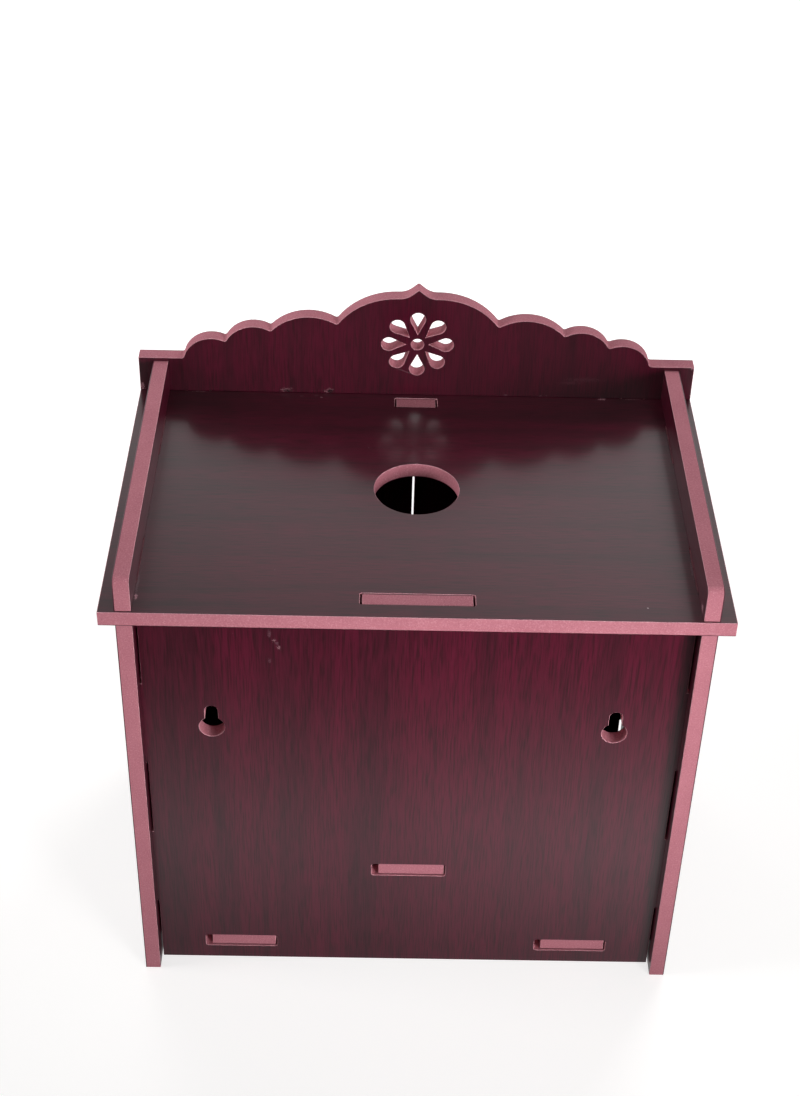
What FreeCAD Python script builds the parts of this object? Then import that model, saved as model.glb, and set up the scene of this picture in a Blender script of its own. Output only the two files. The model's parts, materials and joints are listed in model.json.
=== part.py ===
# Wall shrine cabinet of tab-and-slot boards: a top with a round hole, a scalloped and pierced crest,
# two low rails, a back panel with keyhole hangers, a step shelf, and two hinged doors at the front.
# Millimetres, +Z up, doors towards -Y, wall side towards +Y, origin on the ground at the middle.
import FreeCAD, Part
import math
import os

V = FreeCAD.Vector
to_right = V(1, 0, 0)
to_left = V(-1, 0, 0)
to_rear = V(0, 1, 0)
to_front = V(0, -1, 0)
upward = V(0, 0, 1)
near = 0.01               # places closer than this count as the same

# Boards
board_t = 12.0            # every board has this thickness
top_w = 450.0             # top board, left to right
top_d = 300.0             # top board, front to back
body_h = 380.0            # ground to the upper face of the top board
side_overhang = 12.0      # top past the outer face of a side panel
rear_overhang = 1.5       # top past the rear edges of the side panels
front_overhang = 21.0     # top past the front of the carcass
back_recess = 13.0        # back panel's rear face inside the rear edges of the side panels
lintel_h = 42.0
floor_rise = 14.0         # ground to the underside of the floor board
step_clear = 75.0         # floor board to the underside of the step shelf
step_d = 120.0            # step shelf, front to back
rail_h = 28.0
rail_nose_r = 6.0         # rounded upper corner at the rear end of a rail

# Round hole in the top
hole_d = 65.0
hole_from_rear = 154.0    # rear edge of the top to the hole's centre

# Keyholes in the back panel
keyhole_inset = 51.0      # inner face of a side panel to a keyhole's centre
keyhole_d = 19.0
keyhole_slot_w = 9.8
keyhole_drop = 121.0      # upper face of the top down to the centre of the round part
keyhole_slot_rise = 21.0  # centre of the round part up to the end of the slot

# Crest
crest_reveal = 3.0        # crest's front face behind the front edge of the top
shoulder_h = 31.0         # plain ends of the crest
shoulder_w = 36.5
first_w = 34.3            # scallops from the end towards the middle, along the crest
second_w = 36.3
third_w = 53.3
lobe_w = 47.6             # round side of the middle lobe
first_valley_h = 46.9     # valley inside each scallop, above the top
second_valley_h = 57.5
third_valley_h = 64.9
first_sweep = 107.0       # degrees of each scallop's arc
second_sweep = 98.0
third_sweep = 82.0
lobe_h = 89.8             # level shoulder of the middle lobe, above the top
lobe_flat = 2.0           # its length
ogee_r = 15.0             # hollow curve from the lobe up to its point
ogee_deg = 40.0
tip_half_w = 5.4          # straight flank of the point, along the crest
tip_r = 1.5               # rounding of the point
valley_r = 2.0            # cutter's rounding between two scallops

# Rosette cut out of the crest: drop-shaped petals round an eye
rosette_h = 48.0          # its centre above the top
petals = 8
petal_inner = 9.5         # centre to the point of a petal
petal_taper = 13.5        # point of a petal to the middle of its round end
petal_w = 12.0
eye_d = 10.0

# Tabs and slots
cutter_r = 1.5            # rounding in the corners of a slot
loose_cutter_r = 2.2      # the same in the slots of the back panel
slot_clear = 0.3          # slot wall to the faces of the tab
slot_end_extra = 0.1      # slot end past the cutter's rounding
loose_end_extra = 1.8     # the same in the slots of the back panel, past the smaller rounding
loose_shift = 1.9         # tabs of the shelf and floor sit to one side of their slots by this
tab_recess = 1.2          # end of a tab below the face it comes out of
top_tab_recess = 0.3      # the same on the upper face of the top
edge_relief = 1.2         # back panel's edge short of the side panels between its tabs
board_fit = 0.2           # end of an inner board to the side panel
back_tab_l = 79.0
back_tab_inset = 107.0    # end of the back panel's edge to the middle of a tab
lintel_tab_l = 31.5
lintel_end_tab_l = 20.0
crest_tab_l = 18.0
crest_tab_inset = 47.5    # end of the crest to the middle of its tab
shelf_tab_l = 52.0        # tabs of the floor board and the step shelf
floor_tab_inset = 66.3    # inner face of a side panel to the middle of the floor's tab in the back panel
floor_end_tab_inset = 54.0  # edge of the floor board to the middle of its tab in a side panel
rail_tab_l = 50.0         # side panel's tabs through the top into the rails
rail_tab_inset = 59.0     # edge of a side panel to the middle of such a tab
rail_tab_rise = 9.0       # how far they enter a rail
rail_tab_shoulder = 3.0   # thinned by this on each face inside a rail

# Doors
door_gap = 1.8            # between the two doors
head_gap = 2.0            # under the lintel
foot_gap = 3.0            # over the ground
floor_gap = 2.0           # floor board's front edge behind the doors

# Hinges
hinge_h = 40.0
hinge_inset = 55.0        # end of the door to the middle of a hinge
leaf_t = 1.2
leaf_clear = 1.6          # between the two leaves of a closed hinge
leaf_edge = 1.0           # door's rear face to the end of a leaf
knuckles = 5
knuckle_gap = 0.25
knuckle_clear = 0.3       # knuckle to the front of the door
pin_r = 1.3
pin_clear = 0.05
barrel_wall = 1.25
pin_head_over = 1.0       # head of the pin past the pin
pin_head_h = 1.0
hinge_screw_pitch = 24.0
hinge_screw_r = 1.2
hinge_screw_head_over = 1.1  # head past the shank
hinge_screw_l = 9.0

# Knobs
knob_from_edge = 24.0     # door's free edge to the knob's middle
knob_base_r = 6.5
knob_neck_r = 4.5
knob_r = 10.5
knob_l = 19.0
knob_foot_h = 1.5
knob_rim = 4.0            # height of the rounded rim
knob_dome_h = 2.6         # dome above the rim
knob_screw_r = 2.0
knob_screw_head_over = 2.0
knob_screw_head_h = 2.4
knob_screw_depth = 8.0    # into the knob

# Magnetic catches behind the lintel
catch_apart = 28.0        # between the two catches
catch_ear = 9.5           # flange past the block on each side
catch_flange_h = 13.0
catch_flange_t = 3.0
catch_wall = 3.0          # housing round the magnet
catch_gap = 0.4           # magnet to its strike plate
magnet_w = 15.0
magnet_h = 6.0
magnet_d = 8.0
magnet_fit = 0.15
strike_w = 26.0
strike_h = 12.0
strike_t = 1.0
strike_drop = 1.0         # strike plate below the door's upper edge
catch_screw_r = 1.3
catch_screw_head_over = 1.2
catch_screw_head_h = 1.5
catch_screw_l = 11.0

# All screws
screw_fit = 0.05          # radial room round a screw in its hole
screw_point = 1.5         # length of a screw's point, in shank radii
pan_flat = 0.7            # flat of a pan head, in head radii
pan_side = 0.5            # upright side of a pan head, in head heights
recess_span = 1.1         # across the cross recess, in head radii
recess_w = 0.6
recess_depth = 0.6

# Places worked out from the sizes above
rear_y = top_d / 2
front_y = -top_d / 2
top_z = body_h
under_z = body_h - board_t
side_out_x = top_w / 2 - side_overhang
side_in_x = side_out_x - board_t
carcass_rear_y = rear_y - rear_overhang
carcass_front_y = front_y + front_overhang
lintel_rear_y = carcass_front_y + board_t
back_rear_y = carcass_rear_y - back_recess
back_front_y = back_rear_y - board_t
lintel_z = under_z - lintel_h
floor_top_z = floor_rise + board_t
step_z = floor_top_z + step_clear
floor_front_y = lintel_rear_y + floor_gap
step_front_y = back_front_y - step_d
crest_front_y = front_y + crest_reveal
crest_rear_y = crest_front_y + board_t
hole_y = rear_y - hole_from_rear
keyhole_z = top_z - keyhole_drop
keyhole_x = side_in_x - keyhole_inset
slot_end = cutter_r + slot_end_extra
loose_end = cutter_r + loose_end_extra
through = board_t - tab_recess
through_top = board_t - top_tab_recess
hinge_gap = 2 * leaf_t + leaf_clear
door_edge_x = side_in_x - hinge_gap
door_z0 = foot_gap
door_z1 = lintel_z - head_gap
knuckle_r = pin_r + pin_clear + barrel_wall
axis_x = side_in_x - hinge_gap / 2
axis_y = carcass_front_y - knuckle_r - knuckle_clear
hinge_mids = (door_z0 + hinge_inset, door_z1 - hinge_inset)
pin_head_r = pin_r + pin_head_over
hinge_screw_head_r = hinge_screw_r + hinge_screw_head_over
knob_screw_head_r = knob_screw_r + knob_screw_head_over
catch_screw_head_r = catch_screw_r + catch_screw_head_over
knob_x = door_gap / 2 + knob_from_edge
knob_z = (door_z0 + door_z1) / 2
strike_z = door_z1 - strike_drop - strike_h / 2
magnet_face_y = lintel_rear_y + strike_t + catch_gap
block_w = magnet_w + 2 * (magnet_fit + catch_wall)
block_rear_y = magnet_face_y + magnet_d + magnet_fit + catch_wall
block_z = strike_z - magnet_h / 2 - magnet_fit - catch_wall
catch_w = block_w + 2 * catch_ear
catch_x = (catch_apart + catch_w) / 2

os.makedirs("parts", exist_ok=True)


def box(x, y, z):
    """A block from three (low, high) pairs."""
    size = [pair[1] - pair[0] for pair in (x, y, z)]
    return Part.makeBox(size[0], size[1], size[2], V(x[0], y[0], z[0]))


def about(middle, length):
    """The (low, high) pair of a length centred on a place."""
    return (middle - length / 2, middle + length / 2)


def wider(pair, room):
    """A pair with the same room added at both ends."""
    return (pair[0] - room, pair[1] + room)


def rounded_along(solid, direction, radius):
    """The solid with its straight edges along one direction rounded."""
    edges = []
    for edge in solid.Edges:
        if isinstance(edge.Curve, Part.Line) and abs(edge.Curve.Direction.dot(direction)) > 1 - near:
            edges.append(edge)
    return solid.makeFillet(radius, edges)


def slot(x, y, z, direction, radius=cutter_r):
    """A slot cut by a round cutter along one direction."""
    return rounded_along(box(x, y, z), direction, radius)


def joined(first, others):
    """Several touching solids as one, with no seams left on flat faces."""
    return first.fuse(others).removeSplitter()


def mirrored(shape):
    """The left-hand copy of a right-hand piece."""
    return shape.mirror(V(0, 0, 0), to_right)


def export(name, shape):
    """Write one sub-part."""
    shape.exportStep("parts/%s.step" % name)


def export_pair(name, shape):
    """Write a right-hand piece and its mirrored left-hand copy."""
    export("right_" + name, shape)
    export("left_" + name, mirrored(shape))


def turned(points, base, direction):
    """A solid of revolution from (radius, distance) points, along one direction from a base point."""
    wire = Part.makePolygon([V(r, 0, h) for r, h in points + points[:1]])
    solid = Part.Face(wire).revolve(V(0, 0, 0), upward, 360)
    return placed(solid, base, direction)


def placed(solid, base, direction):
    """A solid made along +Z, turned to a direction and set on a base point."""
    solid = solid.copy()
    solid.Placement = FreeCAD.Placement(base, FreeCAD.Rotation(upward, direction))
    return solid


def countersunk_screw(base, direction, radius, head_r, head_h, length):
    """A screw with its head's flat face on the base point, its point along the direction."""
    shank = length - radius * screw_point
    body = turned([(0, 0), (head_r, 0), (radius, head_h), (radius, shank), (0, length)], base, direction)
    return body.cut(cross_recess(head_r, base, direction))


def pan_screw(base, direction, radius, head_r, head_h, length):
    """A screw whose head stands on the base point, with its point along the direction."""
    shank = length - radius * screw_point
    body = turned([(0, -head_h), (head_r * pan_flat, -head_h), (head_r, -head_h * pan_side), (head_r, 0),
                   (radius, 0), (radius, shank), (0, length)], base, direction)
    return body.cut(cross_recess(head_r, base - direction * head_h, direction))


def cross_recess(head_r, base, direction):
    """The cross in a screw's head."""
    arm = head_r * recess_span
    bar = box(about(0, arm), about(0, recess_w), (-recess_depth, recess_depth))
    other = box(about(0, recess_w), about(0, arm), (-recess_depth, recess_depth))
    return placed(bar.fuse(other), base, direction)


def pilot(base, direction, radius, length):
    """The hole a screw goes into."""
    return Part.makeCylinder(radius + screw_fit, length, base, direction)



def row(low, high, inset, length):
    """Two tabs along an edge, each with its middle at the same inset from its end."""
    return [about(low + inset, length), about(high - inset, length)]


# Rows of tabs along the boards' edges, as (low, high) pairs
back_edge_tabs = row(0, under_z, back_tab_inset, back_tab_l)
rail_tabs = row(carcass_front_y, carcass_rear_y, rail_tab_inset, rail_tab_l)
crest_tabs = row(-top_w / 2, top_w / 2, crest_tab_inset, crest_tab_l)
floor_end_tabs = row(floor_front_y, back_front_y, floor_end_tab_inset, shelf_tab_l)
floor_back_tabs = row(-side_in_x, side_in_x, floor_tab_inset, shelf_tab_l)
step_end_tabs = [about((step_front_y + back_front_y) / 2, shelf_tab_l)]
step_back_tabs = [about(0, shelf_tab_l)]
lintel_end_tab = about((lintel_z + under_z) / 2, lintel_end_tab_l)
lintel_y = (carcass_front_y, lintel_rear_y)
back_y = (back_front_y, back_rear_y)
crest_y = (crest_front_y, crest_rear_y)
top_zs = (under_z, top_z)
side_x = (side_in_x, side_out_x)
rail_tab_x = wider(side_x, -rail_tab_shoulder)


def make_top_board():
    """The flat top, with the round hole and a slot for every tab that passes it."""
    board = box(about(0, top_w), about(0, top_d), top_zs)
    cuts = [Part.makeCylinder(hole_d / 2, board_t, V(0, hole_y, under_z))]
    cuts.append(slot(wider(about(0, back_tab_l), slot_end), wider(back_y, slot_clear), top_zs, upward))
    cuts.append(slot(wider(about(0, lintel_tab_l), slot_end), wider(lintel_y, slot_clear), top_zs, upward))
    for tab in crest_tabs:
        cuts.append(slot(wider(tab, slot_end), wider(crest_y, slot_clear), top_zs, upward))
    for tab in rail_tabs:
        for x in (side_x, (-side_out_x, -side_in_x)):
            cuts.append(slot(wider(x, slot_clear), wider(tab, slot_end), top_zs, upward))
    return board.cut(cuts)


def crest_point(x, z):
    """A point of the crest's outline on its front face."""
    return V(x, crest_front_y, top_z + z)


def crest_arc(start, end, sweep):
    """An arc of the outline from one point out to the next, bulging upwards through a sweep in degrees."""
    dx, dz = end[0] - start[0], end[1] - start[1]
    bulge = math.tan(math.radians(sweep) / 4) / 2
    middle = ((start[0] + end[0]) / 2 - dz * bulge, (start[1] + end[1]) / 2 + dx * bulge)
    return Part.Arc(crest_point(*start), crest_point(*middle), crest_point(*end)).toShape()


def petal(turn):
    """One drop-shaped petal of the rosette, cut through the crest."""
    radius = petal_w / 2
    centre = petal_inner + petal_taper
    slope = radius / petal_taper
    side, height = radius * math.sqrt(1 - slope ** 2), centre - radius * slope
    point = V(0, 0, petal_inner)
    left, right = V(-side, 0, height), V(side, 0, height)
    wire = Part.Wire([Part.makeLine(point, left), Part.Arc(left, V(0, 0, centre + radius), right).toShape(),
                      Part.makeLine(right, point)])
    solid = Part.Face(wire).extrude(V(0, board_t, 0))
    solid.Placement = FreeCAD.Placement(crest_point(0, rosette_h), FreeCAD.Rotation(to_rear, turn))
    return solid


def make_crest_panel():
    """The scalloped crest, with its tabs, its rosette and the cutter's rounding in each valley."""
    bend = math.radians(ogee_deg)
    ogee_x = tip_half_w + ogee_r * math.sin(bend)
    ogee_mid = (ogee_x - ogee_r * math.sin(bend / 2), lobe_h + ogee_r * (1 - math.cos(bend / 2)))
    ogee_end = (tip_half_w, lobe_h + ogee_r * (1 - math.cos(bend)))
    tip = (0, ogee_end[1] + tip_half_w * math.tan(bend))
    widths = (lobe_w, third_w, second_w, first_w)
    heights = (third_valley_h, second_valley_h, first_valley_h, shoulder_h)
    half_w = top_w / 2
    turns = [(ogee_x + lobe_flat, lobe_h)]
    spread = (half_w - shoulder_w - turns[0][0]) / sum(widths)
    for width, height in zip(widths, heights):
        turns.append((turns[-1][0] + width * spread, height))
    lobe_sweep = 2 * math.degrees(math.atan2(lobe_h - third_valley_h, lobe_w * spread))
    sweeps = (lobe_sweep, third_sweep, second_sweep, first_sweep)
    half = [Part.makeLine(crest_point(*tip), crest_point(*ogee_end)),
            Part.Arc(*[crest_point(*p) for p in (ogee_end, ogee_mid, (ogee_x, lobe_h))]).toShape(),
            Part.makeLine(crest_point(ogee_x, lobe_h), crest_point(*turns[0]))]
    half += [crest_arc(*three) for three in zip(turns, turns[1:], sweeps)]
    corners = [turns[-1], (half_w, shoulder_h), (half_w, 0), (0, 0), tip]
    half += [Part.makeLine(crest_point(*a), crest_point(*b)) for a, b in zip(corners, corners[1:])]
    right = Part.Face(Part.Wire(half)).extrude(V(0, board_t, 0))
    panel = joined(right, [mirrored(right)])
    panel = rounded_at(panel, turns[1:], valley_r)
    panel = rounded_at(panel, [tip], tip_r)
    panel = joined(panel, [box(tab, crest_y, (top_z - through, top_z)) for tab in crest_tabs])
    cuts = [petal(i * 360 / petals) for i in range(petals)]
    cuts.append(Part.makeCylinder(eye_d / 2, board_t, crest_point(0, rosette_h), to_rear))
    return panel.cut(cuts)


def rounded_at(panel, points, radius):
    """The crest with the edges through these outline points, left and right, rounded."""
    edges = []
    for edge in panel.Edges:
        start, end = edge.Vertexes[0].Point, edge.Vertexes[-1].Point
        if abs(abs(end.y - start.y) - board_t) > near:
            continue
        if any(math.hypot(abs(start.x) - x, start.z - top_z - z) < near for x, z in points):
            edges.append(edge)
    return panel.makeFillet(radius, edges)


def make_right_rail():
    """The low board along the right end of the top, hollowed over the side panel's tabs."""
    rail = box(side_x, (crest_rear_y, carcass_rear_y), (top_z, top_z + rail_h))
    nose = [e for e in rail.Edges if all(v.Y > carcass_rear_y - near and v.Z > top_z + rail_h - near
                                         for v in e.Vertexes)]
    rail = rail.makeFillet(rail_nose_r, nose)
    depth = (top_z, top_z + rail_tab_rise + slot_clear)
    across = wider(rail_tab_x, slot_clear)
    return rail.cut([box(across, wider(tab, slot_end), depth) for tab in rail_tabs])


def make_right_side_panel():
    """The right side, with slots for the tabs of the back, floor, step and lintel."""
    panel = box(side_x, (carcass_front_y, carcass_rear_y), (0, under_z))
    for tab in rail_tabs:
        panel = panel.fuse(box(side_x, tab, top_zs))
        panel = panel.fuse(box(rail_tab_x, tab, (top_z, top_z + rail_tab_rise)))
    panel = panel.removeSplitter()
    cuts = []
    for tab in back_edge_tabs:
        cuts.append(slot(side_x, wider(back_y, slot_clear), wider(tab, slot_end), to_right))
    for tabs, z in ((floor_end_tabs, floor_rise), (step_end_tabs, step_z)):
        for tab in tabs:
            cuts.append(slot(side_x, wider(tab, slot_end), wider((z, z + board_t), slot_clear), to_right))
    cuts.append(box(side_x, wider(lintel_y, slot_clear), wider(lintel_end_tab, slot_clear)))
    for z in hinge_screw_heights():
        cuts.append(pilot(V(side_in_x, hinge_screw_y(), z), to_right, hinge_screw_r, hinge_screw_l - leaf_t))
    return panel.cut(cuts)


def keyhole(x):
    """A hanger cut through the back panel: a round entry with a slot rising from it."""
    slot_top = keyhole_z + keyhole_slot_rise - keyhole_slot_w / 2
    entry = Part.makeCylinder(keyhole_d / 2, board_t, V(x, back_front_y, keyhole_z), to_rear)
    rise = box(about(x, keyhole_slot_w), back_y, (keyhole_z, slot_top))
    end = Part.makeCylinder(keyhole_slot_w / 2, board_t, V(x, back_front_y, slot_top), to_rear)
    return joined(entry, [rise, end])


def make_back_panel():
    """The recessed back, with keyholes, its own tabs, and slots for the shelf and the floor."""
    half = side_in_x - edge_relief
    panel = box((-half, half), back_y, (0, under_z))
    tabs = [box(about(0, back_tab_l), back_y, (under_z, under_z + through_top))]
    reach = side_in_x + through
    for tab in back_edge_tabs:
        tabs.append(box((-reach, reach), back_y, tab))
    panel = joined(panel, tabs)
    cuts = [keyhole(x) for x in (-keyhole_x, keyhole_x)]
    for z, back_tabs in ((floor_rise, floor_back_tabs), (step_z, step_back_tabs)):
        for tab in back_tabs:
            zs = wider((z, z + board_t), slot_clear)
            cuts.append(slot(wider(tab, loose_end), back_y, zs, to_rear, loose_cutter_r))
    return panel.cut(cuts)


def make_front_lintel():
    """The board over the doors, with a tab through the top and one into each side."""
    half = side_in_x - board_fit
    lintel = box((-half, half), lintel_y, (lintel_z, under_z))
    reach = side_in_x + through
    tabs = [box(about(0, lintel_tab_l), lintel_y, (under_z, under_z + through_top)),
            box((-reach, reach), lintel_y, lintel_end_tab)]
    lintel = joined(lintel, tabs)
    holes = []
    for s in (-1, 1):
        for x in catch_screw_places():
            holes.append(pilot(V(s * x, lintel_rear_y, catch_screw_z()), to_front, catch_screw_r,
                               catch_screw_l - catch_flange_t))
    return lintel.cut(holes)


def make_shelf(front, z, end_tabs, back_tabs):
    """A level board between the sides and the back panel, with its tabs."""
    half = side_in_x - board_fit
    zs = (z, z + board_t)
    shelf = box((-half, half), (front, back_front_y), zs)
    reach = side_in_x + through
    tabs = [box((-reach, reach), tab, zs) for tab in end_tabs]
    for tab in back_tabs:
        x = [place - loose_shift for place in tab]
        tabs.append(box(x, (back_front_y - board_t, back_front_y + through), zs))
    return joined(shelf, tabs)


def hinge_screw_y():
    """Screw line of a hinge leaf, in the middle of the board's edge."""
    return carcass_front_y + (board_t - leaf_edge) / 2


def hinge_screw_heights():
    """Heights of the screws of both hinges of a door."""
    return [mid + s * hinge_screw_pitch / 2 for mid in hinge_mids for s in (-1, 1)]


def catch_screw_places():
    """Distances from the middle of the cabinet to the two screws of a catch, one in each ear."""
    step = (block_w + catch_ear) / 2
    return (catch_x - step, catch_x + step)


def catch_screw_z():
    """Height of the screws of a catch."""
    return lintel_z + catch_flange_h / 2


def make_right_door_panel():
    """The right-hand door board, with the holes for its hinges, knob and strike plate."""
    door = box((door_gap / 2, door_edge_x), lintel_y, (door_z0, door_z1))
    cuts = [pilot(V(door_edge_x, hinge_screw_y(), z), to_left, hinge_screw_r, hinge_screw_l - leaf_t)
            for z in hinge_screw_heights()]
    cuts.append(pilot(V(knob_x, lintel_rear_y, knob_z), to_front, knob_screw_r, board_t))
    cuts.append(pilot(V(catch_x, lintel_rear_y, strike_z), to_front, hinge_screw_r, hinge_screw_l - strike_t))
    return door.cut(cuts)


def countersink(base, direction, depth):
    """The hole in a plate for the head of a small screw."""
    head_r, shank_r = hinge_screw_head_r + screw_fit, hinge_screw_r + screw_fit
    return turned([(0, 0), (head_r, 0), (shank_r, depth), (0, depth)], base, direction)


def small_screw(base, direction, depth):
    """A countersunk screw for a hinge leaf or a strike plate of this thickness."""
    return countersunk_screw(base, direction, hinge_screw_r, hinge_screw_head_r, depth, hinge_screw_l)


def make_leaf(mid, own, plate_x, screw_dir):
    """One hinge leaf: a plate in the gap beside the door, rolled round the pin at its own knuckles."""
    z0 = mid - hinge_h / 2
    pitch = (hinge_h + knuckle_gap) / knuckles
    solid = box(plate_x, (carcass_front_y, carcass_front_y + board_t - leaf_edge), (z0, z0 + hinge_h))
    for i in own:
        zs = (z0 + i * pitch, z0 + i * pitch + pitch - knuckle_gap)
        solid = solid.fuse(box(plate_x, (axis_y, carcass_front_y), zs))
        solid = solid.fuse(Part.makeCylinder(knuckle_r, zs[1] - zs[0], V(axis_x, axis_y, zs[0])))
    solid = solid.removeSplitter()
    cuts = [Part.makeCylinder(pin_r + pin_clear, hinge_h, V(axis_x, axis_y, z0))]
    face_x = plate_x[0] if screw_dir.x > 0 else plate_x[1]
    for s in (-1, 1):
        base = V(face_x, hinge_screw_y(), mid + s * hinge_screw_pitch / 2)
        cuts.append(countersink(base, screw_dir, leaf_t))
    return solid.cut(cuts)


def make_pin(mid):
    """A hinge pin with a low head at each end."""
    low, high = -pin_clear, hinge_h + pin_clear
    outline = [(0, low - pin_head_h), (pin_head_r, low - pin_head_h), (pin_head_r, low), (pin_r, low),
               (pin_r, high), (pin_head_r, high), (pin_head_r, high + pin_head_h), (0, high + pin_head_h)]
    return turned(outline, V(axis_x, axis_y, mid - hinge_h / 2), upward)


def export_hinges():
    """Both hinges of both doors, and their screws."""
    frame_x = (side_in_x - leaf_t, side_in_x)
    door_x = (door_edge_x, door_edge_x + leaf_t)
    for name, mid in zip(("lower", "upper"), hinge_mids):
        export_pair("%s_hinge_frame_leaf" % name, make_leaf(mid, range(0, knuckles, 2), frame_x, to_right))
        export_pair("%s_hinge_door_leaf" % name, make_leaf(mid, range(1, knuckles, 2), door_x, to_left))
        export_pair("%s_hinge_pin" % name, make_pin(mid))
    for name, x, way in (("frame", frame_x[0], to_right), ("door", door_x[1], to_left)):
        screws = [small_screw(V(x, hinge_screw_y(), z), way, leaf_t) for z in hinge_screw_heights()]
        export_pair("%s_hinge_screws" % name, Part.makeCompound(screws))


def make_right_knob():
    """A turned knob on the front of the right-hand door: foot, waist, rim and low dome."""
    dome_r = knob_r - knob_rim / 2
    ball_r = (dome_r ** 2 + knob_dome_h ** 2) / (2 * knob_dome_h)
    half = math.asin(dome_r / ball_r) / 2
    rim_z = knob_l - knob_dome_h
    foot = (knob_base_r, knob_foot_h)
    waist = (knob_neck_r, (knob_foot_h + rim_z - knob_rim) / 2)
    under, edge, rim = (dome_r, rim_z - knob_rim), (knob_r, rim_z - knob_rim / 2), (dome_r, rim_z)
    dome = (ball_r * math.sin(half), knob_l - ball_r * (1 - math.cos(half)))
    arcs = [(foot, waist, under), (under, edge, rim), (rim, dome, (0, knob_l))]
    corners = [(0, knob_l), (0, 0), (knob_base_r, 0), foot]
    edges = [Part.makeLine(V(a[0], 0, a[1]), V(b[0], 0, b[1])) for a, b in zip(corners, corners[1:])]
    edges += [Part.Arc(*[V(r, 0, h) for r, h in three]).toShape() for three in arcs]
    knob = Part.Face(Part.Wire(edges)).revolve(V(0, 0, 0), upward, 360)
    base = V(knob_x, carcass_front_y, knob_z)
    return placed(knob, base, to_front).cut(pilot(base, to_front, knob_screw_r, knob_screw_depth))


def make_right_catch():
    """The catch's housing: a flange on the lintel and a block with a pocket for the magnet."""
    flange_zs = (lintel_z, lintel_z + catch_flange_h)
    flange = box(about(catch_x, catch_w), (lintel_rear_y, lintel_rear_y + catch_flange_t), flange_zs)
    block_x = about(catch_x, block_w)
    upper = box(block_x, (lintel_rear_y, block_rear_y), flange_zs)
    lower = box(block_x, (magnet_face_y, block_rear_y), (block_z, lintel_z))
    body = joined(flange, [upper, lower])
    holes = [box(wider(about(catch_x, magnet_w), magnet_fit),
                 (magnet_face_y, magnet_face_y + magnet_d + magnet_fit),
                 wider(about(strike_z, magnet_h), magnet_fit))]
    for x in catch_screw_places():
        base = V(x, lintel_rear_y + catch_flange_t, catch_screw_z())
        holes.append(pilot(base, to_front, catch_screw_r, catch_flange_t))
    return body.cut(holes)


def export_catches():
    """Both catches with magnets, strike plates and screws."""
    export_pair("catch", make_right_catch())
    magnet_y = (magnet_face_y, magnet_face_y + magnet_d)
    export_pair("catch_magnet", box(about(catch_x, magnet_w), magnet_y, about(strike_z, magnet_h)))
    screws = []
    for x in catch_screw_places():
        for s in (-1, 1):
            base = V(s * x, lintel_rear_y + catch_flange_t, catch_screw_z())
            screws.append(pan_screw(base, to_front, catch_screw_r, catch_screw_head_r, catch_screw_head_h,
                                    catch_screw_l))
    export("catch_screws", Part.makeCompound(screws))
    base = V(catch_x, lintel_rear_y + strike_t, strike_z)
    plate_y = (lintel_rear_y, lintel_rear_y + strike_t)
    plate = box(about(catch_x, strike_w), plate_y, about(strike_z, strike_h))
    export_pair("strike_plate", plate.cut(countersink(base, to_front, strike_t)))
    export_pair("strike_screw", small_screw(base, to_front, strike_t))


def export_knobs():
    """Both knobs, and the screws that hold them from behind the doors."""
    export_pair("knob", make_right_knob())
    length = board_t + knob_screw_depth - screw_fit
    screw = pan_screw(V(knob_x, lintel_rear_y, knob_z), to_front, knob_screw_r, knob_screw_head_r,
                      knob_screw_head_h, length)
    export_pair("knob_screw", screw)


export("top_board", make_top_board())
export("crest_panel", make_crest_panel())
export_pair("top_rail", make_right_rail())
export_pair("side_panel", make_right_side_panel())
export("back_panel", make_back_panel())
export("front_lintel", make_front_lintel())
export("floor_board", make_shelf(floor_front_y, floor_rise, floor_end_tabs, floor_back_tabs))
export("step_shelf", make_shelf(step_front_y, step_z, step_end_tabs, step_back_tabs))
export_pair("door_panel", make_right_door_panel())
export_hinges()
export_knobs()
export_catches()
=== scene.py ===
import bpy
import bmesh
import json
import math
from mathutils import Matrix, Vector


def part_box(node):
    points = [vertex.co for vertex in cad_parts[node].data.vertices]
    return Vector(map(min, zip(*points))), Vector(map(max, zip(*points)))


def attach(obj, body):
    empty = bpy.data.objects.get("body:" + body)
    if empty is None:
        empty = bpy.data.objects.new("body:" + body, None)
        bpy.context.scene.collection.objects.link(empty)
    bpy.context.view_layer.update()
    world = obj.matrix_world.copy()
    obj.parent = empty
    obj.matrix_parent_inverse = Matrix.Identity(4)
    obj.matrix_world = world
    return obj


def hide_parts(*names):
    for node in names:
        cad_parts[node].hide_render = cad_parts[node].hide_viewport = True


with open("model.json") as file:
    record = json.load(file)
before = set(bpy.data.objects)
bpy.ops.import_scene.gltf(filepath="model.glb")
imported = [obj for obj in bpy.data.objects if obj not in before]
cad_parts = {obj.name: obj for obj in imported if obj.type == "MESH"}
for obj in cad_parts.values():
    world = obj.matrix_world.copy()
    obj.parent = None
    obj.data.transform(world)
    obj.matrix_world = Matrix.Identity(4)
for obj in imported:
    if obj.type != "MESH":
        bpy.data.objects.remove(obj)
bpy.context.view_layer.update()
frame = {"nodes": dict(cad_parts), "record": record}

scene = bpy.context.scene
scene.view_settings.view_transform = "Standard"
mm = 0.001
axes = "xyz"
white = (1, 1, 1, 1)
bodyOfNode = {node: body for body, nodes in frame["record"]["behaviour"]["bodies"].items() for node in nodes}
print("frame loaded:", len(bodyOfNode), "nodes")


# sRGB hex to the linear colour that a socket wants
def hexColour(code):
    channels = [int(code[i:i + 2], 16) / 255 for i in (1, 3, 5)]
    return [c / 12.92 if c <= 0.04045 else ((c + 0.055) / 1.055) ** 2.4 for c in channels] + [1.0]


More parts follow.
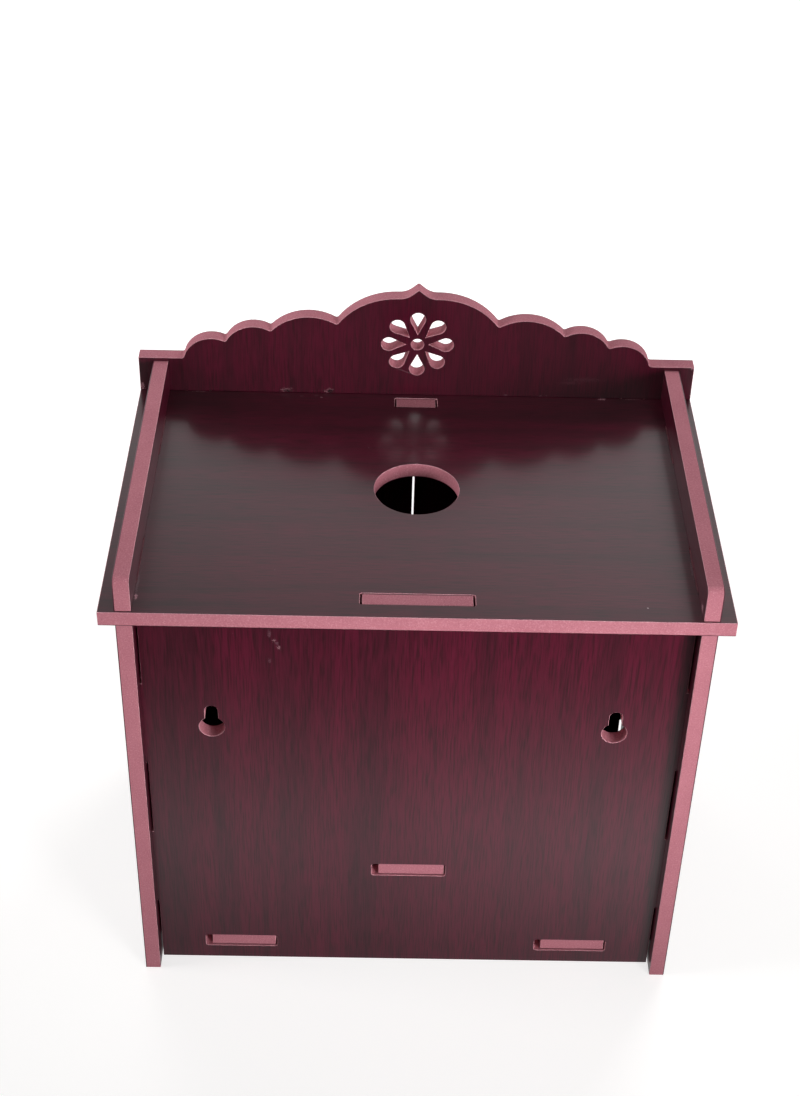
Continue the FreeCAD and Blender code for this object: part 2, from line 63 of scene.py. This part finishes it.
# adds one node; inputs go by name or by place among the live sockets, a node or socket there is linked
def addNode(tree, kind, inputs={}, **settings):
    node = tree.nodes.new(kind)
    for key, value in settings.items():
        setattr(node, key, value)
    live = [socket for socket in node.inputs if socket.enabled]
    for key, value in inputs.items():
        socket = live[key] if isinstance(key, int) else node.inputs[key]
        if isinstance(value, bpy.types.Node):
            value = next(out for out in value.outputs if out.enabled)
        if isinstance(value, bpy.types.NodeSocket):
            tree.links.new(value, socket)
        else:
            socket.default_value = value
    return node


def startMaterial(name):
    material = bpy.data.materials.new(name)
    material.use_nodes = True
    tree = material.node_tree
    tree.nodes.clear()
    where = addNode(tree, "ShaderNodeTexCoord").outputs["Object"]
    return material, tree, where


# paints patches of other colours over a base, one layer of noise each; sizes in mm, along is the grain's way
def paintLayers(tree, where, base, layers, grain=None):
    colour = hexColour(base)
    noises = {}
    for name, layer in layers.items():
        size = [layer.get("along", layer["across"]) if axis == grain else layer["across"] for axis in axes]
        stretched = addNode(tree, "ShaderNodeMapping", {
            "Vector": where, "Scale": [1 / (s * mm) for s in size]})
        noises[name] = addNode(tree, "ShaderNodeTexNoise", {
            "Vector": stretched, "Scale": 1.0, "Detail": layer.get("detail", 2.0),
            "Roughness": layer.get("broken", 0.5), "Distortion": layer.get("wander", 0.0)})
        share = addNode(tree, "ShaderNodeMapRange", {
            "Value": noises[name], "From Min": layer["start"], "From Max": layer["full"],
            "To Max": layer.get("strength", 1.0)})
        colour = addNode(tree, "ShaderNodeMix", {
            0: share, 1: colour, 2: hexColour(layer["colour"])}, data_type="RGBA")
    return colour, noises


skin = {"noiseLow": 0.3, "noiseHigh": 0.7, "bump": 0.5}                # a noise's usual span, and its bump


# closes a material: roughness and relief (in mm) both follow one of its noises
def finishMaterial(tree, colour, noise, rough, relief, **sockets):
    roughness = addNode(tree, "ShaderNodeMapRange", {
        "Value": noise, "From Min": skin["noiseLow"], "From Max": skin["noiseHigh"],
        "To Min": rough[0], "To Max": rough[1]})
    bump = addNode(tree, "ShaderNodeBump", {
        "Strength": skin["bump"], "Distance": relief * mm, "Height": noise})
    shader = addNode(tree, "ShaderNodeBsdfPrincipled", {
        "Base Color": colour, "Roughness": roughness, "Normal": bump, **sockets})
    addNode(tree, "ShaderNodeOutputMaterial", {"Surface": shader})


laminate = {
    "base": "#500621",
    "layers": {
        "band": {"across": 22, "along": 560, "wander": 0.3, "start": 0.6, "full": 0.38, "colour": "#330816"},
        "figure": {"across": 6, "along": 140, "wander": 0.2, "start": 0.3, "full": 0.7, "strength": 0.45,
                   "colour": "#5B0B28"},
        "streak": {"across": 1.0, "along": 26, "broken": 0.6, "start": 0.3, "full": 0.75, "strength": 0.5,
                   "colour": "#5C0E2A"},
        # pores are twice their real width so that they show
        "pore": {"across": 0.8, "along": 20, "detail": 1.0, "start": 0.44, "full": 0.7, "strength": 0.7,
                 "colour": "#24060D"},
    },
    "rough": (0.285, 0.33), "relief": 0.014, "ior": 1.62,
    "sealer": 0.5, "sealerRough": 0.16,                                # clear resin over the print
    "dust": "#A89295", "dustCell": 34, "dustSize": 0.4,                # mm
    "dustCore": 0.4, "dustCover": 0.8,
    # the pit colour is painted shade: a near-black spot for the shade inside a small hollow
    "glue": "#5F3A44", "rim": "#8A6068", "chip": "#C08A96", "pitShade": "#150509", "haze": "#4A1F2B",
    "markGrain": 1.1, "markDetail": 3.0, "markBroken": 0.7,            # mm, how ragged a mark's edge is
    "fray": (0.35, 0.6), "reach": (1.1, 0.35), "depth": 0.5, "soft": 0.15,   # reach in a mark's half sizes
}


# wood-grain melamine foil pressed on board: satin, dark wine, fine dark lines along the grain, a broad sheen
# with a sharper gleam of resin in it, so that it mirrors what stands on it as a blur
def melamineBoard(name, grain, paintedShadeTone, marks):
    look = laminate
    material, tree, where = startMaterial(name)
    colour, noises = paintLayers(tree, where, look["base"], look["layers"], grain)
    # painted shade: the whole print multiplied darker by the tone, for a board that gets less light
    colour = addNode(tree, "ShaderNodeMix", {0: 1.0, 1: colour, 2: [paintedShadeTone, paintedShadeTone, paintedShadeTone, 1.0]},
                     data_type="RGBA", blend_type="MULTIPLY")
    # dust: small pale specks, a few to a hand's width
    cells = addNode(tree, "ShaderNodeTexVoronoi", {"Vector": where, "Scale": 1 / (look["dustCell"] * mm)})
    radius = look["dustSize"] / look["dustCell"]
    speck = addNode(tree, "ShaderNodeMapRange", {
        "Value": cells, "From Min": radius, "From Max": radius * look["dustCore"],
        "To Max": look["dustCover"]})
    colour = addNode(tree, "ShaderNodeMix", {
        0: speck, 1: colour, 2: hexColour(look["dust"])}, data_type="RGBA")
    # glue, chips, painted shade in pits and haze at known places: (kind, middle in mm, half size in mm),
    # ragged at the rim
    ragged = addNode(tree, "ShaderNodeTexNoise", {
        "Vector": where, "Scale": 1 / (look["markGrain"] * mm), "Detail": look["markDetail"],
        "Roughness": look["markBroken"]})
    frayed = addNode(tree, "ShaderNodeMapRange", {
        "Value": ragged, "From Min": look["fray"][0], "From Max": look["fray"][1], "To Max": look["depth"]})
    for kind, middle, half in marks:
        scale = [1 / (h * mm) for h in half]
        offset = [-m * mm * s for m, s in zip(middle, scale)]
        local = addNode(tree, "ShaderNodeVectorMath", {
            0: where, 1: scale, 2: offset}, operation="MULTIPLY_ADD")
        reach = addNode(tree, "ShaderNodeVectorMath", {0: local}, operation="LENGTH")
        core = addNode(tree, "ShaderNodeMapRange", {
            "Value": reach, "From Min": look["reach"][0], "From Max": look["reach"][1],
            "To Max": look["depth"]})
        inside = addNode(tree, "ShaderNodeMath", {0: core, 1: frayed}, operation="SUBTRACT")
        share = addNode(tree, "ShaderNodeMapRange", {"Value": inside, "From Max": look["soft"]})
        colour = addNode(tree, "ShaderNodeMix", {
            0: share, 1: colour, 2: hexColour(look[kind])}, data_type="RGBA")
    finishMaterial(tree, colour, noises["streak"], look["rough"], look["relief"], IOR=look["ior"],
                   **{"Coat Weight": look["sealer"], "Coat Roughness": look["sealerRough"]})
    return material


fibreboards = {
    "rose dyed fibreboard": {"base": "#BC7682", "deep": "#A66270", "pale": "#CD9099"},
    # the arris rose is paler partly from rubbing and partly as a painted highlight on edges that face the
    # light
    "rose fibreboard rubbed and highlit at the arris": {"base": "#C99099", "deep": "#A86B7A", "pale": "#DDB4B9"},
}


# dyed fibreboard cut by a router: dead matt rose, speckled with fibres, which are drawn as coarse as the
# render can show
def dyedFibreboard(name):
    look = fibreboards[name]
    material, tree, where = startMaterial(name)
    colour, noises = paintLayers(tree, where, look["base"], {
        "cloud": {"across": 30, "start": 0.3, "full": 0.7, "strength": 0.45, "colour": look["deep"]},
        "fibre": {"across": 1.1, "detail": 3.0, "broken": 0.7, "start": 0.5, "full": 0.68, "strength": 0.8,
                  "colour": look["pale"]},
        "fleck": {"across": 1.4, "detail": 3.0, "broken": 0.7, "start": 0.46, "full": 0.3, "strength": 0.8,
                  "colour": look["deep"]},
    })
    finishMaterial(tree, colour, noises["fibre"], rough=(0.72, 0.85), relief=0.03)
    return material


metals = {
    "satin brass plate": {"base": "#C7A563", "tarnish": "#9C7C43", "rough": (0.26, 0.42), "lines": 3,
                          "lineAxis": "z"},
    "polished turned brass": {"base": "#D8B56C", "tarnish": "#B58F4C", "rough": (0.1, 0.22), "lines": 0.35,
                              "lineAxis": "y"},
    "zinc plated steel": {"base": "#C9C6BC", "tarnish": "#98958C", "rough": (0.25, 0.45), "lines": 1.5,
                          "lineAxis": "z"},
}


# bright plated or turned metal: mirror-like between fine tool lines, with a breath of tarnish
def brightMetal(name):
    look = metals[name]
    material, tree, where = startMaterial(name)
    colour, noises = paintLayers(tree, where, look["base"], {
        "tarnish": {"across": 7, "detail": 3.0, "start": 0.4, "full": 0.7, "colour": look["tarnish"]},
        "lines": {"across": look["lines"], "along": look["lines"] * 6, "start": 0.55, "full": 0.8,
                  "strength": 0.3, "colour": look["tarnish"]},
    }, look["lineAxis"])
    finishMaterial(tree, colour, noises["lines"], look["rough"], relief=0.01, Metallic=1.0)
    return material


mouldings = {
    "moulded brown polypropylene": {"base": "#4A2A1E", "grit": "#38201A", "across": 0.6,
                                    "rough": (0.42, 0.58)},
    "sintered ferrite": {"base": "#3A393B", "grit": "#232325", "across": 0.4, "rough": (0.5, 0.7)},
}


# moulded plastic or pressed ferrite: an even dull skin with a fine pebble in it
def pebbledSkin(name):
    look = mouldings[name]
    material, tree, where = startMaterial(name)
    colour, noises = paintLayers(tree, where, look["base"], {
        "grit": {"across": look["across"], "broken": 0.6, "start": 0.35, "full": 0.65,
                 "colour": look["grit"]},
    })
    finishMaterial(tree, colour, noises["grit"], look["rough"], relief=0.02)
    return material


rawEdge, rubbedHighlitArris = [dyedFibreboard(name) for name in fibreboards]
brassPlate, turnedBrass, zincSteel = [brightMetal(name) for name in metals]
brownPlastic, ferrite = [pebbledSkin(name) for name in mouldings]
print("materials made")

# Meshes: weld and cut in mm, flat and sharp in degrees
edges = {"weld": 0.002, "flat": 1.0, "sharp": 25.0, "cut": 0.001}


# a copy of a CAD node's mesh, merged, with its flat faces whole again
def copyNode(node):
    bm = bmesh.new()
    bm.from_mesh(frame["nodes"][node].data)
    bmesh.ops.remove_doubles(bm, verts=bm.verts, dist=edges["weld"] * mm)
    bmesh.ops.dissolve_limit(bm, angle_limit=math.radians(edges["flat"]), verts=bm.verts, edges=bm.edges)
    return bm


def roundEdges(bm, radius, segments):
    sharp = [e for e in bm.edges if e.is_manifold and e.calc_face_angle(0.0) > math.radians(edges["sharp"])]
    return bmesh.ops.bevel(bm, geom=sharp, offset=radius * mm, offset_type="OFFSET", affect="EDGES",
                           segments=segments, profile=0.5, material=-1, clamp_overlap=False)["faces"]


def finishPiece(name, bm, materials, node):
    mesh = bpy.data.meshes.new(name)
    bm.to_mesh(mesh)
    bm.free()
    for material in materials:
        mesh.materials.append(material)
    mesh.shade_smooth()
    mesh.set_sharp_from_angle(angle=math.radians(edges["sharp"]))
    piece = bpy.data.objects.new(name, mesh)
    scene.collection.objects.link(piece)
    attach(piece, bodyOfNode[node])
    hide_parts(node)


# Boards: thin is the way through the board, grain the way the print runs, face the side that faces out (its
# arris kept its print), tone the painted shade that darkens the print where less light falls, joins the
# planes on other boards; sizes in mm
topZ = 380
footY = -135                                                           # crest's rear face
arris = 0.35
foilEdgeAndSeamShade = 0.4                                                         # thicker than real, so that it shows; under the top's overhang it is also painted shadow of the seam
joinReach = 1.0
broadFace = 0.9                                                        # how square a face is to the thin way
outwardArris = 0.3
boards = {
    # the top's and the crest's tones are painted shade, the crest's the deepest as it stands furthest from
    # the lamps
    "top_board": {"thin": "z", "grain": "x", "face": -1, "paintedShadeTone": 0.9, "marks": [
        ("glue", (93, -129.8, topZ), (3, 1.4, 3)), ("glue", (81, -131, topZ), (3, 1.2, 3)),
        ("rim", (76.6, -128.6, topZ), (2.5, 1.2, 3)),
        ("rim", (178, -134.4, topZ), (10, 1.5, 3)), ("rim", (-177, -134.4, topZ), (9, 1.5, 3)),
        ("chip", (-151.7, -133.1, topZ), (5, 1.7, 3)), ("dust", (-163, 134.4, topZ), (1, 1, 3)),
        ("glue", (200, 118, topZ), (1.6, 22, 3)), ("chip", (199.4, 132, topZ), (1.6, 3.5, 3)),
        ("glue", (-200, 90, topZ), (1.6, 20, 3)),
    ]},
    "crest_panel": {"thin": "y", "grain": "z", "face": -1, "paintedShadeTone": 0.78, "joins": [("z", topZ)], "marks": [
        # the crest's foot: pale rims round pits whose near black is painted shade
        ("rim", (105.4, footY, 382), (5.5, 3, 3.4)), ("pitShade", (105, footY, 381.6), (4.6, 3, 2.6)),
        ("rim", (71.1, footY, 382), (5, 3, 3.6)), ("pitShade", (70.4, footY, 381.8), (4, 3, 2.8)),
        ("glue", (-73, footY, 381.2), (2.2, 3, 1.6)), ("glue", (-102, footY, 381.2), (1.6, 3, 1.4)),
        ("glue", (-107, footY, 381.2), (1.6, 3, 1.4)),
        ("haze", (-137, footY, 397.4), (22, 3, 3)), ("haze", (-125, footY, 394), (12, 3, 2)),
        ("chip", (223.4, footY, 383), (2.8, 3, 6)), ("chip", (-224, footY, 410), (2, 3, 2.2)),
    ]},
    "left_top_rail": {"thin": "x", "grain": "y", "face": -1, "joins": [("z", topZ)], "marks": [
        ("chip", (-201, 137, 383), (3, 4.5, 5)), ("glue", (-201, 143, 404), (3, 2, 3)),
    ]},
    "right_top_rail": {"thin": "x", "grain": "y", "face": 1, "joins": [("z", topZ)]},
    "left_side_panel": {"thin": "x", "grain": "z", "face": -1},
    "right_side_panel": {"thin": "x", "grain": "z", "face": 1},
    "back_panel": {"thin": "y", "grain": "z", "face": -1, "marks": [
        ("glue", (105.6, 135.5, 351), (2, 3, 5)), ("rim", (102.4, 135.5, 344.6), (1.8, 3, 2.2)),
        ("glue", (100.2, 135.5, 342), (2, 3, 2)), ("rim", (99, 135.5, 338), (2, 3, 2.4)),
        ("glue", (105.8, 135.5, 325), (1.4, 3, 3)),
    ]},
    "front_lintel": {"thin": "y", "grain": "z", "face": -1},
    "floor_board": {"thin": "z", "grain": "x", "face": -1},
    "step_shelf": {"thin": "z", "grain": "x", "face": -1},
    "left_door_panel": {"thin": "y", "grain": "z", "face": -1},
    "right_door_panel": {"thin": "y", "grain": "z", "face": -1},
}


# dresses a board: print on its two broad faces, raw core on its cut edges, a paler arris between them that is
# rubbed wear with a painted highlight, and the foil's own edge as a dark line along the outer side, which
# under the top's overhang is also painted shadow of the seam
def dressBoard(node, thin, grain, face, paintedShadeTone=1.0, joins=(), marks=()):
    bm = copyNode(node)
    through = axes.index(thin)
    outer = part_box(node)[1 if face > 0 else 0][through]
    for side in bm.faces:
        side.material_index = 0 if abs(side.normal[through]) > broadFace else 1
    for side in roundEdges(bm, arris, segments=1):
        middle = side.calc_center_median()
        joined = any(abs(middle[axes.index(axis)] - value * mm) < joinReach * mm for axis, value in joins)
        outward = side.normal[through] * face > outwardArris
        # arrises neither facing out nor at a joint get the paler rose: rubbed wear with a painted highlight
        side.material_index = 0 if joined or outward else 2            # a joint shows the dark print too
    # the band along the outer side keeps the dark print: the foil's edge, and painted shadow of the seam
    # under the top
    inward = Vector([-face if axis == thin else 0 for axis in axes])
    line = Vector([outer if axis == thin else 0 for axis in axes]) + inward * (arris + foilEdgeAndSeamShade) * mm
    bmesh.ops.bisect_plane(bm, geom=bm.verts[:] + bm.edges[:] + bm.faces[:], dist=edges["cut"] * mm,
                           plane_co=line, plane_no=inward)
    for side in bm.faces:
        if (side.calc_center_median() - line).dot(inward) < 0:
            side.material_index = 0
    foil = melamineBoard(node.replace("_", " ") + " wine melamine", grain, paintedShadeTone, marks)
    finishPiece(node + "_dressed", bm, [foil, rawEdge, rubbedHighlitArris], node)


for node, board in boards.items():
    dressBoard(node, **board)
print("boards dressed:", len(boards))

# Turned knobs: profile as (radius, height off the door) in mm, from the bottom of the screw hole to the crown
knob = {
    "profile": [(0.0, 8.6), (2.05, 8.6), (2.05, 0.0), (6.5, 0.0), (6.5, 1.5), (5.6, 1.9), (4.7, 4.0),
                (4.5, 6.6), (5.6, 9.6), (8.2, 11.9), (9.9, 12.7), (10.5, 14.4), (9.9, 16.1), (8.7, 16.5),
                (7.9, 17.2), (5.2, 18.3), (0.0, 19.0)],
    "steps": 48, "round": 0.45,
}


def turnKnob(side):
    low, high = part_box(side + "_knob")
    foot = Vector(((low[0] + high[0]) / 2, high[1], (low[2] + high[2]) / 2))
    bm = bmesh.new()
    line = [bm.verts.new(foot + Vector((radius, -height, 0)) * mm) for radius, height in knob["profile"]]
    for pair in zip(line, line[1:]):
        bm.edges.new(pair)
    bmesh.ops.bevel(bm, geom=line[1:-1], offset=knob["round"] * mm, affect="VERTICES", segments=2,
                    profile=0.5, material=-1)
    bmesh.ops.spin(bm, geom=bm.verts[:] + bm.edges[:], cent=foot, axis=(0, 1, 0), angle=math.tau,
                   steps=knob["steps"], use_merge=True)
    bmesh.ops.remove_doubles(bm, verts=bm.verts, dist=edges["weld"] * mm)
    bmesh.ops.recalc_face_normals(bm, faces=bm.faces)
    finishPiece(side + "_knob_turned", bm, [turnedBrass], side + "_knob")


for side in ("left", "right"):
    turnKnob(side)
print("knobs turned")

# Ironmongery: the ends of the nodes' names, with edge radius in mm, finish and slot
fittings = {
    "_leaf": (0.2, brassPlate, "hinge_brass"),
    "_pin": (0.25, brassPlate, "hinge_brass"),
    "_strike_plate": (0.2, zincSteel, "strike_steel"),
    "_catch": (0.4, brownPlastic, "catch_plastic"),
    "_magnet": (0.25, ferrite, "magnet_ferrite"),
    "_screw": (0.06, zincSteel, "screw_steel"),
    "_screws": (0.06, zincSteel, "screw_steel"),
}
for node in list(frame["nodes"]):
    for ending, (radius, material, slotName) in fittings.items():
        if node.endswith(ending):
            bm = copyNode(node)
            roundEdges(bm, radius, segments=2)
            finishPiece(node + "_eased", bm, [material], node)
print("ironmongery finished")

# Floor: pale, white to the camera, and it keeps the shadow. Mirrored in the boards it glows as a painted
# reflection: bright near the cabinet, fading to dark a little way behind it and brighter at one end (size and
# near in m, the rest in mm)
floor = {
    "size": 6.0, "colour": "#C4C2C0", "rough": 0.9, "near": (0.4, 1.2), "lift": (0.7, 0.95),
    "reflectionFade": (300, 490), "mirrored": (0.485, 0.048),
    "foot": (150, 260), "footShade": (0.5, 1.0),
    "side": (20, -200), "sideLight": (1.0, 1.5),
}


def layFloor():
    bm = bmesh.new()
    bmesh.ops.create_grid(bm, x_segments=1, y_segments=1, size=floor["size"] / 2)
    mesh = bpy.data.meshes.new("studio_floor")
    bm.to_mesh(mesh)
    bm.free()
    material, tree, where = startMaterial("matt white paper")
    path = addNode(tree, "ShaderNodeLightPath").outputs
    seen = addNode(tree, "ShaderNodeMath", {0: path["Is Camera Ray"], 1: path["Is Transmission Ray"]},
                   operation="MAXIMUM")
    away = addNode(tree, "ShaderNodeVectorMath", {0: where}, operation="LENGTH")
    whiter = addNode(tree, "ShaderNodeMapRange", {
        "Value": away, "From Min": floor["near"][0], "From Max": floor["near"][1],
        "To Min": floor["lift"][0], "To Max": floor["lift"][1]})
    lift = addNode(tree, "ShaderNodeMath", {0: seen, 1: whiter}, operation="MULTIPLY")
    paper = addNode(tree, "ShaderNodeBsdfPrincipled", {
        "Base Color": hexColour(floor["colour"]), "Roughness": floor["rough"], "Emission Color": white,
        "Emission Strength": lift})
    place = addNode(tree, "ShaderNodeSeparateXYZ", {"Vector": where}).outputs
    glow = 1.0
    for axis, span, light in (("Y", "reflectionFade", "mirrored"), ("Y", "foot", "footShade"),
                              ("X", "side", "sideLight")):
        fade = addNode(tree, "ShaderNodeMapRange", {
            "Value": place[axis], "From Min": floor[span][0] * mm, "From Max": floor[span][1] * mm,
            "To Min": floor[light][0], "To Max": floor[light][1]})
        glow = addNode(tree, "ShaderNodeMath", {0: glow, 1: fade}, operation="MULTIPLY")
    # painted reflection: this glow is seen only by glossy rays, fading behind the cabinet, shaded at its
    # foot, brighter at one side
    mirrored = addNode(tree, "ShaderNodeEmission", {"Color": white, "Strength": glow})
    both = addNode(tree, "ShaderNodeMixShader", {0: path["Is Glossy Ray"], 1: paper, 2: mirrored})
    addNode(tree, "ShaderNodeOutputMaterial", {"Surface": both})
    mesh.materials.append(material)
    ground = bpy.data.objects.new("studio_floor", mesh)
    scene.collection.objects.link(ground)


layFloor()

# Studio: soft white room, with lamps as (place, aim, size in m, beam in degrees, watts), named left and
# right as the camera sees them
studio = {
    "ambient": 0.17,
    "dimmer": (-2.2, -0.5, -10.5), "from": (-0.09, -0.8, 0.599), "least": 0.2,   # by direction
    "lamps": {
        "camera side": ((-0.8, 1.1, 0.45), (-0.05, 0.14, 0.32), 0.6, 42, 1.8),
        "left side": ((1.5, 0.2, 0.85), (-0.1, 0.0, 0.38), 0.6, 60, 1.8),
        "above the doors, right": ((-0.7, -1.2, 1.7), (0, 0, 0.4), 0.7, 180, 13),
        "above the doors, left": ((0.8, -1.2, 1.7), (0, 0, 0.4), 0.7, 180, 2.5),
        "door side": ((0.6, -2.0, 0.5), (0, -0.1, 0.25), 1.2, 180, 16),
    },
}


def lightStudio():
    world = bpy.data.worlds.new("white studio")
    scene.world = world
    world.use_nodes = True
    tree = world.node_tree
    tree.nodes.clear()
    path = addNode(tree, "ShaderNodeLightPath").outputs
    seen = addNode(tree, "ShaderNodeMath", {0: path["Is Camera Ray"], 1: path["Is Transmission Ray"]},
                   operation="MAXIMUM")
    strength = addNode(tree, "ShaderNodeMapRange", {
        "Value": seen, "To Min": studio["ambient"], "To Max": 1.0})
    # boards mirror a room that is dimmer overhead, on the camera's side and at one end
    towards = addNode(tree, "ShaderNodeTexCoord").outputs["Generated"]
    turned = addNode(tree, "ShaderNodeVectorMath", {0: towards, 1: studio["from"]}, operation="SUBTRACT")
    fall = addNode(tree, "ShaderNodeVectorMath", {0: turned, 1: studio["dimmer"]}, operation="DOT_PRODUCT")
    room = addNode(tree, "ShaderNodeMapRange", {
        "Value": fall, "From Min": studio["least"] - 1.0, "From Max": 0.0,
        "To Min": studio["least"], "To Max": 1.0})
    strength = addNode(tree, "ShaderNodeMix", {
        0: path["Is Glossy Ray"], 1: strength, 2: room}, data_type="FLOAT")
    sky = addNode(tree, "ShaderNodeBackground", {"Color": white, "Strength": strength})
    addNode(tree, "ShaderNodeOutputWorld", {"Surface": sky})
    for name, (place, aim, size, beam, watts) in studio["lamps"].items():
        lamp = bpy.data.lights.new(name, "AREA")
        lamp.size = size
        lamp.spread = math.radians(beam)
        lamp.energy = watts
        stand = bpy.data.objects.new(name, lamp)
        stand.visible_camera = False
        stand.visible_glossy = False                                   # boards mirror the room, not the lamps
        stand.location = place
        stand.rotation_euler = (Vector(aim) - Vector(place)).to_track_quat("-Z", "Y").to_euler()
        scene.collection.objects.link(stand)


lightStudio()
print("studio lit")

# Camera: behind and above, as the photograph was taken, in mm and degrees, for a frame of 800 x 1096
view = {
    "place": (29.52, 1175.88, 1237.14), "aim": (12.67, 70.23, 380.0), "roll": 1.567,
    "lens": 62.64, "sensor": 36,
}


def setCamera():
    data = bpy.data.cameras.new("photo view")
    data.sensor_width = view["sensor"]
    data.lens = view["lens"]
    camera = bpy.data.objects.new("photo view", data)
    place, aim = Vector(view["place"]) * mm, Vector(view["aim"]) * mm
    turn = (aim - place).to_track_quat("-Z", "Y").to_matrix().to_4x4()
    roll = Matrix.Rotation(math.radians(view["roll"]), 4, "Z")
    camera.matrix_world = Matrix.Translation(place) @ turn @ roll
    scene.collection.objects.link(camera)
    scene.camera = camera


setCamera()
